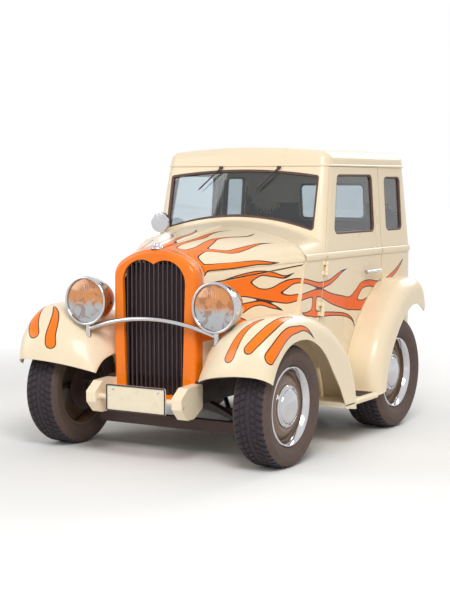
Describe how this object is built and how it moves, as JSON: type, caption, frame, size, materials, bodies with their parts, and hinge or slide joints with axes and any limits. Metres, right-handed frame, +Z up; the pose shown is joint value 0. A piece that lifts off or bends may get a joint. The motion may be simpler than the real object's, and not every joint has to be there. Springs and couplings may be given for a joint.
{
  "type": "hot rod",
  "caption": "Short 1930s two-door sedan hot rod with separate fenders, steered dropped front axle, butterfly hood and swinging doors.",
  "frame": {"origin": "on the floor under the middle of the car's box", "axes": "+Z up, -Y to the front, +X to the car's left"},
  "size_m": [1.672, 2.527, 1.765],
  "materials": {
    "body_paint": "gloss cream enamel with painted flames",
    "flame_paint": "gloss orange enamel",
    "chassis_paint": "satin dark chassis enamel",
    "axle_paint": "satin brown enamel",
    "wheel_paint": "satin brown enamel",
    "dark_paint": "satin dark enamel",
    "engine_iron": "painted cast iron",
    "exhaust_steel": "dull aluminised steel",
    "chrome": "polished plating",
    "lamp_glass": "fluted lens, warm",
    "red_glass": "red lens",
    "window_glass": "clear flat glass",
    "plate_enamel": "blank enamel plate",
    "trim_brown": "brown moulded trim",
    "seat_leather": "pleated brown leather",
    "tyre_rubber": "road rubber"
  },
  "bodies": {
    "chassis": {"frame": "chassis_paint", "frame_horns": "body_paint", "number_plate": "plate_enamel", "front_axle": "axle_paint", "rear_axle": "axle_paint", "leaf_springs": "axle_paint", "engine": "engine_iron", "radiator": "dark_paint", "exhaust": "exhaust_steel", "fuel_tank": "chassis_paint", "floor_pan": "chassis_paint", "cowl": "body_paint", "windscreen_frame": "body_paint", "roof": "body_paint", "quarter_panels": "body_paint", "rear_panel": "body_paint", "front_fenders": "body_paint", "rear_fenders": "body_paint", "running_boards": "body_paint", "grille_shell": "flame_paint", "grille_bars": "dark_paint", "radiator_cap": "chrome", "hood_sides": "body_paint", "hood_hinge": "body_paint", "headlamp_shells": "chrome", "headlamp_lenses": "lamp_glass", "headlamp_bar": "chrome", "body_glass": "window_glass", "door_hinges": "chrome", "dashboard": "trim_brown", "steering_column": "dark_paint", "seats": "seat_leather", "mirror": "chrome", "wipers": "dark_paint", "tail_lamps": "red_glass"},
    "door_left": {"door_left": "body_paint", "door_glass_left": "window_glass", "door_handle_left": "chrome"},
    "door_right": {"door_right": "body_paint", "door_glass_right": "window_glass", "door_handle_right": "chrome"},
    "hood_left": {"hood_left": "body_paint"},
    "hood_right": {"hood_right": "body_paint"},
    "knuckle_left": {"knuckle_left": "axle_paint"},
    "knuckle_right": {"knuckle_right": "axle_paint"},
    "tie_rod": {"tie_rod": "axle_paint"},
    "steering_wheel": {"steering_wheel": "trim_brown"},
    "wheel_front_left": {"wheel_front_left": "wheel_paint", "tyre_front_left": "tyre_rubber"},
    "wheel_front_right": {"wheel_front_right": "wheel_paint", "tyre_front_right": "tyre_rubber"},
    "wheel_rear_left": {"wheel_rear_left": "wheel_paint", "tyre_rear_left": "tyre_rubber"},
    "wheel_rear_right": {"wheel_rear_right": "wheel_paint", "tyre_rear_right": "tyre_rubber"}
  },
  "joints": [
    {"name": "steer_left", "type": "hinge", "parent": "chassis", "child": "knuckle_left", "pos_m": [0.56, -0.88, 0.335], "axis": [0, 0, 1], "range_deg": [-28, 28]},
    {"name": "steer_right", "type": "hinge", "parent": "chassis", "child": "knuckle_right", "pos_m": [-0.56, -0.88, 0.335], "axis": [0, 0, 1], "range_deg": [-28, 28]},
    {"name": "tie_rod_swing", "type": "hinge", "parent": "knuckle_left", "child": "tie_rod", "pos_m": [0.56, -0.755, 0.262], "axis": [0, 0, 1], "range_deg": [-28, 28]},
    {"name": "steering_wheel_turn", "type": "hinge", "parent": "chassis", "child": "steering_wheel", "pos_m": [0.3, 0.095, 1.08], "axis": [0, 0.866, 0.5], "range_deg": [-364, 364]},
    {"name": "door_left_swing", "type": "hinge", "parent": "chassis", "child": "door_left", "pos_m": [0.6194, -0.14931, 0.92], "axis": [0, -0.2079, -0.9781], "range_deg": [0, 65]},
    {"name": "door_right_swing", "type": "hinge", "parent": "chassis", "child": "door_right", "pos_m": [-0.6194, -0.14931, 0.92], "axis": [0, 0.2079, 0.9781], "range_deg": [0, 65]},
    {"name": "hood_left_lift", "type": "hinge", "parent": "chassis", "child": "hood_left", "pos_m": [0, -0.972, 1.182], "axis": [0, -0.9872, -0.1598], "range_deg": [0, 70]},
    {"name": "hood_right_lift", "type": "hinge", "parent": "chassis", "child": "hood_right", "pos_m": [0, -0.972, 1.182], "axis": [0, 0.9872, 0.1598], "range_deg": [0, 70]},
    {"name": "wheel_front_left_spin", "type": "hinge", "parent": "knuckle_left", "child": "wheel_front_left", "pos_m": [0.6965, -0.88, 0.335], "axis": [1, 0, 0], "continuous": true},
    {"name": "wheel_front_right_spin", "type": "hinge", "parent": "knuckle_right", "child": "wheel_front_right", "pos_m": [-0.6965, -0.88, 0.335], "axis": [1, 0, 0], "continuous": true},
    {"name": "wheel_rear_left_spin", "type": "hinge", "parent": "chassis", "child": "wheel_rear_left", "pos_m": [0.677, 0.55, 0.35], "axis": [1, 0, 0], "continuous": true},
    {"name": "wheel_rear_right_spin", "type": "hinge", "parent": "chassis", "child": "wheel_rear_right", "pos_m": [-0.677, 0.55, 0.35], "axis": [1, 0, 0], "continuous": true}
  ],
  "couplings": [
    {"joint": "steer_right", "follows": "steer_left", "ratio": 1},
    {"joint": "tie_rod_swing", "follows": "steer_left", "ratio": -1},
    {"joint": "steering_wheel_turn", "follows": "steer_left", "ratio": 13}
  ]
}
